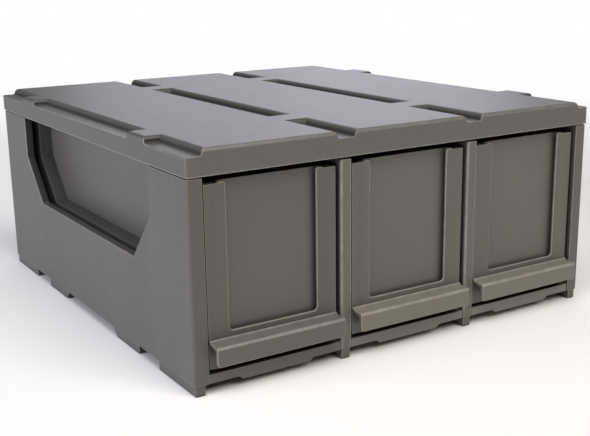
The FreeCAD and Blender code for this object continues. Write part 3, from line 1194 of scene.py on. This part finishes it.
@dataclass
class Dividers(Moulding):
    """The two dividers between the columns: a web between two posts, with feet."""

    rail: float = 5.0
    post_radius: float = 1.6
    neck_inset: float = 0.8        # neck under the lid, inside the divider's sides
    neck_height: float = 1.5
    neck_setback: float = 2.4

    def build(self) -> list[Piece]:
        """Model one divider and copy it.

        Returns:
            The left and the right divider.
        """
        s = self.sizes
        half, base = s.divider_width / 2, s.foot_height
        top = s.seat - self.neck_height
        divider = block("divider_moulding", (-half, s.wall_front, base), (half, s.panel_front, top))
        y0, y1 = s.wall_front + s.post_depth, s.panel_front - s.post_depth
        z0, z1 = base + s.shelf, s.seat - self.rail
        web = s.skin / 2
        cut(divider, block("flank", (-half - PAST, y0, z0), (-web, y1, z1)))
        cut(divider, block("flank", (web, y0, z0), (half + PAST, y1, z1)))
        round_edges(divider, along(Axis.Z, (Axis.Y, s.wall_front)), self.post_radius, steps=5, highlighted=True)
        neck, neck_front = half - self.neck_inset, s.wall_front + self.neck_setback
        add(divider, block("neck", (-neck, neck_front, top - OVER), (neck, s.panel_front, s.seat)))
        feet = Feet(s)
        add(divider, *feet.build(-feet.width / 2, s.panel_front))
        return row(soften(clean(divider), self.edge_radius), s.dividers)


@dataclass
class BackPanel(Moulding):
    """Back panel with a sunk field behind each column."""

    fit_gap: float = 0.2
    field_margin: float = 12.0
    field_depth: float = 1.0
    field_corner: float = 4.0
    edge_radius: float = 0.35

    def build(self) -> list[Piece]:
        """Model the back panel.

        Returns:
            The panel.
        """
        s = self.sizes
        side = s.inner_side - self.fit_gap
        start = (-side, s.panel_front, s.foot_height)
        panel = block("back_panel_moulding", start, (side, s.wall_back, s.seat))
        reach = s.bay_width / 2 - self.field_margin
        low, high = s.foot_height + self.field_margin, s.seat - self.field_margin
        front, past = s.wall_back - self.field_depth, s.wall_back + PAST
        for x in s.columns.values():
            sunk = block("field", (x - reach, front, low), (x + reach, past, high))
            cut(panel, round_edges(sunk, along(Axis.Y), self.field_corner, steps=5))
        seam = (-side - OVER, s.wall_back - s.skin / 2, s.seat - s.seam)
        cut(panel, block("seam", seam, (side + OVER, s.back + OVER, s.seat + OVER)))
        return [soften(clean(panel), self.edge_radius)]


@dataclass
class FloorPanels(Moulding):
    """Floor panel of each column, with its rails, pads, runner guides and stop rib."""

    rail_setback: float = 1.5
    plate: float = 2.8
    pad_width: float = 56.0
    pad_drop: float = 2.5
    pad_depth: float = 14.0
    stop_width: float = 30.0
    stop_setback: float = 24.0
    stop_height: float = 3.0
    guide_width: float = 2.0
    guide_height: float = 2.2
    guide_gap: float = 0.7
    runner_spacing: float = 70.0
    runner_width: float = 3.0
    fit_gap: float = 0.2
    edge_radius: float = 0.3

    def build(self) -> list[Piece]:
        """Model one floor panel and copy it into each column.

        Returns:
            The left, middle and right floor panels.
        """
        s = self.sizes
        half, top, low = s.bay_width / 2 - self.fit_gap, s.floor_top, s.floor_top - self.plate
        front, back = s.front + self.rail_setback, s.panel_front - self.fit_gap
        floor = block("floor_moulding", (-half, front, s.foot_height), (half, back, top))
        cut(floor, block("underside", (-half - PAST, front + s.skin, 0), (half + PAST, back - s.skin, low)))
        tongue = half + (s.divider_width - s.skin) / 2 - self.fit_gap
        ends = s.wall_front + s.post_depth + self.fit_gap, s.panel_front - s.post_depth - self.fit_gap
        add(floor, block("tongues", (-tongue, ends[0], low), (tongue, ends[1], top)))
        pad = self.pad_width / 2
        outline = [
            (-pad - self.pad_drop, s.foot_height), (-pad, s.foot_height - self.pad_drop),
            (pad, s.foot_height - self.pad_drop), (pad + self.pad_drop, s.foot_height),
            (pad + self.pad_drop, low + OVER), (-pad - self.pad_drop, low + OVER),
        ]
        add(floor, prism("front_pad", outline, Axis.Y, front, front + self.pad_depth))
        add(floor, prism("back_pad", outline, Axis.Y, back - self.pad_depth, back))
        stop, reach = front + self.stop_setback, self.stop_width / 2
        rib_end = (reach, stop + s.skin, top + self.stop_height)
        add(floor, block("stop_rib", (-reach, stop, low + OVER), rib_end))
        offset = self.runner_spacing / 2 + self.runner_width / 2 + self.guide_gap
        for x in (-offset - self.guide_width, offset):
            guide_end = (x + self.guide_width, ends[1], top + self.guide_height)
            add(floor, block("guide", (x, stop, low + OVER), guide_end))
        return row(soften(clean(floor), self.edge_radius), s.columns)


@dataclass
class Trays(Moulding):
    """Drawer trays: open boxes with a waist on both sides, runners and a stop lug."""

    skin: float = 2.0
    back_gap: float = 1.0
    run_gap: float = 0.3
    runner_height: float = 3.5
    runner_width: float = 3.0
    runner_spacing: float = 70.0
    waist: float = 11.0
    lug_setback: float = 62.0
    lug_length: float = 5.0
    lug_width: float = 24.0
    lug_gap: float = 0.8
    field_depth: float = 1.6       # sunk field behind the label, on the front wall
    field_inset: float = 1.7
    field_foot: float = 39.5
    edge_radius: float = 0.45

    def build(self) -> list[Piece]:
        """Model one tray and copy it into each column.

        Returns:
            The left, middle and right trays.
        """
        s = self.sizes
        half, back = s.tray_width / 2, s.panel_front - self.back_gap
        runner_low = s.floor_top + self.run_gap
        low, top, front = runner_low + self.runner_height, s.tray_top, s.tray_front
        tray = block("tray_moulding", (-half, front, low), (half, back, top))
        cut(tray, *self.waist_cutters(half, self.waist, 0))
        rise, wall = s.label_half, front + self.skin + self.field_depth
        add(tray, block("panel_rise", (-rise, front, top - OVER), (rise, wall, s.panel_top)))
        inside = block(
            "inside", (-half + self.skin, wall, low + self.skin),
            (half - self.skin, back - self.skin, s.panel_top + PAST),
        )
        cut(tray, cut(inside, *self.waist_cutters(half, self.waist + self.skin, self.skin)))
        reach, behind = rise - self.field_inset, front + self.field_depth
        cut(tray, block("label_field", (-reach, front - OVER, self.field_foot), (reach, behind, top + PAST)))
        for x in (-self.runner_spacing / 2, self.runner_spacing / 2):
            a, b = x - self.runner_width / 2, x + self.runner_width / 2
            add(tray, block("runner", (a, front, runner_low), (b, back, low + OVER)))
        lug, reach = back - self.lug_setback, self.lug_width / 2
        start = (-reach, lug - self.lug_length, s.floor_top + self.lug_gap)
        add(tray, block("lug", start, (reach, lug, low + OVER)))
        return row(soften(clean(tray), self.edge_radius, coarse=self.waist_side), s.drawers)

    def waist_cutters(self, half: float, depth: float, grow: float) -> list[Piece]:
        """Cutters that take the window's outline out of both sides of a shape.

        Args:
            half: Half the width of the tray.
            depth: How far they reach in from its sides.
            grow: Millimetres that the outline is moved outwards all round.

        Returns:
            The left and the right cutter.
        """
        sides = ((-half - PAST, -half + depth), (half - depth, half + PAST))
        return [prism("waist_cutter", self.sizes.window(grow), Axis.X, x0, x1) for x0, x1 in sides]

    def waist_side(self, face: Face) -> bool:
        """Test for the faces that run in from a tray's sides to its waist, which get painted shade.

        Args:
            face: Face of a tray.

        Returns:
            Whether it is one of them.
        """
        half, place = self.sizes.tray_width / 2, centre(face)
        outside = half - self.waist - 2 * SLACK < abs(place.x) < half + SLACK
        return outside and abs(face.normal.x) < FACING and place.z > self.field_foot


@dataclass
class FrontFrames(Moulding):
    """Frames on the trays' front walls: two flanges and a deep sill, with lips that hold a label."""

    flange: float = 16.5
    sill: float = 28.0
    sill_corner: float = 3.0
    lip_skin: float = 1.5
    lip_corner: float = 2.0
    lip_radius: float = 0.85       # front edges round the mouth
    label_drop: float = 4.0
    gap: float = 2.4
    edge_radius: float = 0.4

    def build(self) -> list[Piece]:
        """Model one front frame and copy it onto each tray.

        Returns:
            The left, middle and right front frames.
        """
        s = self.sizes
        half, inner, reach = s.tray_width / 2, s.tray_width / 2 - self.flange, s.label_half
        low, sill, top = s.floor_top + self.gap, s.floor_top + self.sill, s.tray_top
        behind, lip = s.face + self.lip_skin, s.panel_top
        right = [(half, low), (half, top), (reach, top), (reach, lip), (inner, lip), (inner, sill)]
        piece = prism("front_frame_moulding", self.both_sides(right), Axis.Y, s.face, behind)
        for x in (-inner, inner):
            round_edges(piece, along(Axis.Y, (Axis.X, x), (Axis.Z, sill)), self.sill_corner, steps=6)
            round_edges(piece, along(Axis.Y, (Axis.X, x), (Axis.Z, lip)), self.lip_corner, steps=5)
        round_edges(piece, self.on_mouth, self.lip_radius, steps=4, highlighted=True)
        right = [(half, low), (half, top), (reach, top), (reach, sill - self.label_drop)]
        add(piece, prism("carrier", self.both_sides(right), Axis.Y, behind, s.tray_front))
        return row(soften(clean(piece), self.edge_radius), s.drawers)

    def both_sides(self, right: Outline) -> Outline:
        """Outline that is the same left and right, from its right half."""
        return right + [(-x, z) for x, z in reversed(right)]

    def on_mouth(self, edge: Edge) -> bool:
        """Test for the front edges of the lips and of the sill.

        Args:
            edge: Edge of a frame.

        Returns:
            Whether it lies on the front face, round the mouth or on top of a lip.
        """
        s, place = self.sizes, centre(edge)
        round_mouth = abs(place.x) < s.label_half - SLACK / 2 and place.z > s.floor_top + self.sill - SLACK
        return at(edge, Axis.Y, s.face) and round_mouth


@dataclass
class Pulls(Moulding):
    """Hooked pulls: a root against the frame, a top that falls to its front edge, and a hanging face."""

    height: float = 14.0
    bottom: float = 7.9
    skin: float = 2.8
    rise: float = 1.9
    corner: float = 2.5
    crest_radius: float = 1.7
    root: float = 1.3              # thickness of the root's top edge
    root_rounding: float = 0.48    # share of that thickness that each side's rounding takes
    lift: float = 0.3              # how much the top rises from its front edge to the hollow curve
    hollow: float = 3.4            # how far the hollow curve runs out from the root
    hollow_drop: float = 0.6       # how far below the root's top the hollow curve ends
    hollow_steps: int = 5
    grip_slope: float = 0.3        # faces that look up more than this get a painted sheen
    edge_radius: float = 0.5

    def build(self) -> list[Piece]:
        """Model one pull and copy it onto each front frame.

        Returns:
            The left, middle and right pulls.
        """
        s = self.sizes
        half, face = s.tray_width / 2, s.front - s.pull_reach
        low = s.floor_top + self.bottom
        edge, foot = low + self.height, s.face - self.root
        top = edge + self.rise
        start, end = (foot - self.hollow, edge + self.lift), (foot, top - self.hollow_drop)
        outline = [
            (face, low), (face, edge), start, *self.curve(start, end), (foot, top), (s.face, top),
            (s.face, top - self.skin), (face + self.skin, edge - self.skin), (face + self.skin, low),
        ]
        pull = prism("pull_moulding", outline, Axis.X, -half, half)
        round_edges(pull, along(Axis.Y, (Axis.Z, low)), self.corner, steps=5)
        crest = along(Axis.X, (Axis.Y, face), (Axis.Z, edge))
        round_edges(pull, crest, self.crest_radius, steps=5, highlighted=True)
        for y in (foot, s.face):
            rounding = self.root * self.root_rounding
            round_edges(pull, along(Axis.X, (Axis.Y, y), (Axis.Z, top)), rounding, steps=3, highlighted=True)
        # Faces that look up get a painted sheen.
        soften(clean(pull), self.edge_radius, steps=3, sheen=lambda face: face.normal.z > self.grip_slope)
        return row(pull, s.drawers)

    def curve(self, start: tuple[float, float], end: tuple[float, float]) -> Outline:
        """Points of the hollow curve between the pull's top and its root, which bends upwards.

        Args:
            start: Where the curve leaves the top.
            end: Where it meets the root.

        Returns:
            (y, z) points between the two ends, and the end.
        """
        angles = [math.pi / 2 * i / self.hollow_steps for i in range(1, self.hollow_steps + 1)]
        run, lift = end[0] - start[0], end[1] - start[1]
        return [(start[0] + run * math.sin(a), end[1] - lift * math.cos(a)) for a in angles]


# ---- Studio ----


@dataclass
class Studio:
    """Pale floor, soft lights and the camera."""

    azimuth: float = -32.27
    elevation: float = 14.48
    roll: float = -0.84
    stand: Point = (-454.2, -747.4, 284.3)
    lens: float = 60.2
    sensor: float = 36.0
    floor_size: float = 14.0
    sweep_start: float = 0.45      # metres from the box's middle where the floor starts to glow
    sweep_end: float = 1.5
    room_light: float = 0.08

    def build(self) -> None:
        """Set up everything that isn't part of the box."""
        self.floor()
        self.lights()
        self.camera()

    def floor(self) -> None:
        """Lay a plain pale floor, lit from behind well away from the box."""
        bpy.ops.object.select_all(action="DESELECT")
        bpy.ops.mesh.primitive_plane_add(size=self.floor_size, location=(0, 0, 0))
        ground = bpy.context.object
        ground.name = "studio_floor"
        paper = bpy.data.materials.new("matt_paper_sweep")
        paper.use_nodes = True
        tree = paper.node_tree
        shader = tree.nodes["Principled BSDF"]
        shader.inputs["Base Color"].default_value = linear("#fafafa")
        shader.inputs["Roughness"].default_value = 0.9
        place = add_node(tree, "TexCoord").outputs["Object"]
        away = add_node(tree, "VectorMath", {}, {0: place}, operation="LENGTH").outputs["Value"]
        lit = add_node(
            tree, "MapRange", {"From Min": self.sweep_start, "From Max": self.sweep_end}, {"Value": away},
            interpolation_type="SMOOTHSTEP",
        )
        glow = add_node(tree, "Emission", {"Color": linear("#ffffff"), "Strength": 1.0})
        sweep = add_node(tree, "MixShader", {}, {0: lit, 1: shader, 2: glow})
        tree.links.new(sweep.outputs["Shader"], tree.nodes["Material Output"].inputs["Surface"])
        ground.data.materials.append(paper)

    def lights(self) -> None:
        """Hang five soft lights round the box, in a dim room with a white backdrop."""
        scene = bpy.context.scene
        scene.view_settings.view_transform = "Standard"
        world = bpy.data.worlds.new("white_backdrop")
        scene.world = world
        world.use_nodes = True
        tree = world.node_tree
        seen = add_node(tree, "LightPath").outputs["Is Camera Ray"]
        strength = add_node(tree, "MapRange", {"To Min": self.room_light, "To Max": 1.0}, {"Value": seen})
        backdrop = tree.nodes["Background"].inputs
        backdrop["Color"].default_value = linear("#ffffff")
        tree.links.new(strength.outputs["Result"], backdrop["Strength"])
        self.softbox("front_light", (0.3, -1.7, 1.9), 1.4, 36.5, "#fff9ec")
        self.softbox("left_light", (-2.3, 0.0, 0.7), 1.4, 40.0, "#f3f2ff")
        self.softbox("top_light", (-0.8, -0.9, 2.1), 1.4, 23.0, "#fbfbff")
        self.softbox("back_light", (1.4, 2.2, 0.9), 1.6, 15.3, "#f0f1ff")
        self.softbox("far_light", (2.0, 1.8, 0.8), 1.6, 5.2, "#f0f1ff")

    def softbox(self, name: str, place: Point, size: float, power: float, colour: str) -> None:
        """Add a square soft light that faces the box.

        Args:
            name: Name of the light.
            place: Where it hangs, in metres.
            size: Side of the square, in metres.
            power: Watts.
            colour: sRGB hex of the light.
        """
        lamp = bpy.data.lights.new(name, "AREA")
        lamp.size, lamp.energy, lamp.color = size, power, linear(colour)[:3]
        hung = bpy.data.objects.new(name, lamp)
        hung.location = place
        hung.rotation_euler = (-Vector(place)).to_track_quat("-Z", "Y").to_euler()
        bpy.context.scene.collection.objects.link(hung)

    def camera(self) -> None:
        """Stand the camera in front of the box's left corner."""
        a, e, r = (math.radians(v) for v in (self.azimuth, self.elevation, self.roll))
        back = Vector((math.sin(a) * math.cos(e), -math.cos(a) * math.cos(e), math.sin(e)))
        right = Vector((math.cos(a), math.sin(a), 0))
        up = back.cross(right)
        right, up = math.cos(r) * right + math.sin(r) * up, math.cos(r) * up - math.sin(r) * right
        lens = bpy.data.cameras.new("camera")
        lens.lens, lens.sensor_width, lens.sensor_fit = self.lens, self.sensor, "HORIZONTAL"
        lens.clip_start, lens.clip_end = 0.01, 50.0
        held = bpy.data.objects.new("camera", lens)
        turn = Matrix((right, up, back)).transposed().to_4x4()
        held.matrix_world = Matrix.Translation(Vector(self.stand) * MM) @ turn
        bpy.context.scene.collection.objects.link(held)
        bpy.context.scene.camera = held


def main() -> None:
    """Build and dress the box, then set up the studio."""
    logging.basicConfig(level=logging.INFO, format="%(name)s: %(message)s")
    sizes = BoxSizes()
    makers = (
        (Lid(sizes), Slot.LID, [LID_ABS]),
        (SideWalls(sizes), Slot.CASE, WALL_ABS),
        (Dividers(sizes), Slot.CASE, [DIVIDER_ABS, DIVIDER_ABS]),
        (BackPanel(sizes), Slot.CASE, [PANEL_ABS]),
        (FloorPanels(sizes), Slot.CASE, FLOOR_ABS),
        (Trays(sizes), Slot.DRAWER, TRAY_ABS),
        (FrontFrames(sizes), Slot.DRAWER, FRAME_ABS),
        (Pulls(sizes), Slot.DRAWER, PULL_ABS),
    )
    for maker, slot, finishes in makers:
        for piece, finish in zip(maker.build(), finishes):
            node = piece.name.removesuffix("_moulding")
            body = f"{node.split('_')[0]}_drawer" if slot is Slot.DRAWER else "case"
            maker.fit(piece, node, body, slot, finish)
    Studio().build()


if __name__ == "__main__":
    main()
